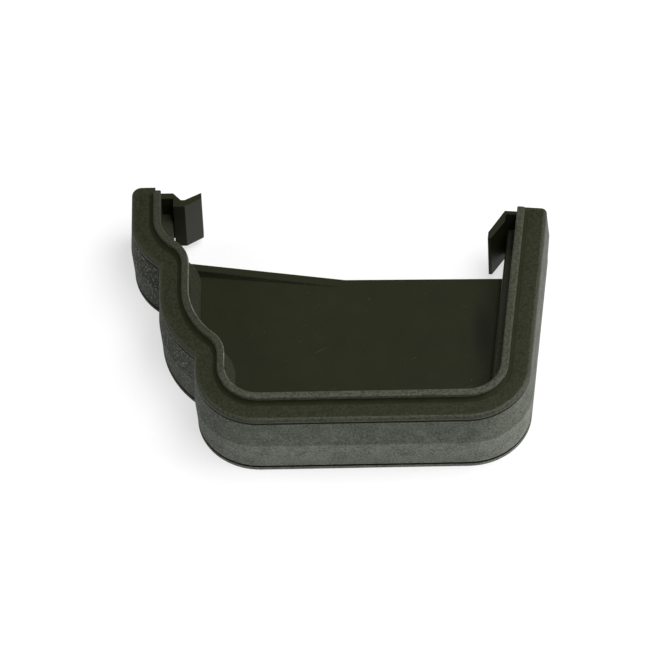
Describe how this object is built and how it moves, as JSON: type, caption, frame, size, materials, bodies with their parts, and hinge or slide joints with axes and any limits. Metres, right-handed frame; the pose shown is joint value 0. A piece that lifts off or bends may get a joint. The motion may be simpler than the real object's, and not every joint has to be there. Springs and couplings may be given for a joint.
{
  "type": "gutter end cap",
  "caption": "Ogee gutter end cap in dark moulded plastic: an end plate set in a hollow stepped collar with a mouth lip, a stop ledge and snap clips, closing the end of a rain gutter.",
  "frame": {"origin": "middle of the bounding box at the foot of the closed end, where the cap stands on a table", "axes": "+X from the ogee front towards the flat back wall, +Y from the sole towards the gutter's open top, +Z out of the mouth along the gutter"},
  "size_m": [0.1264, 0.0886, 0.0278],
  "materials": {
    "cap_plastic": "spark-textured outside, smooth satin inside"
  },
  "bodies": {
    "root": {"end_cap": "cap_plastic"}
  },
  "joints": []
}
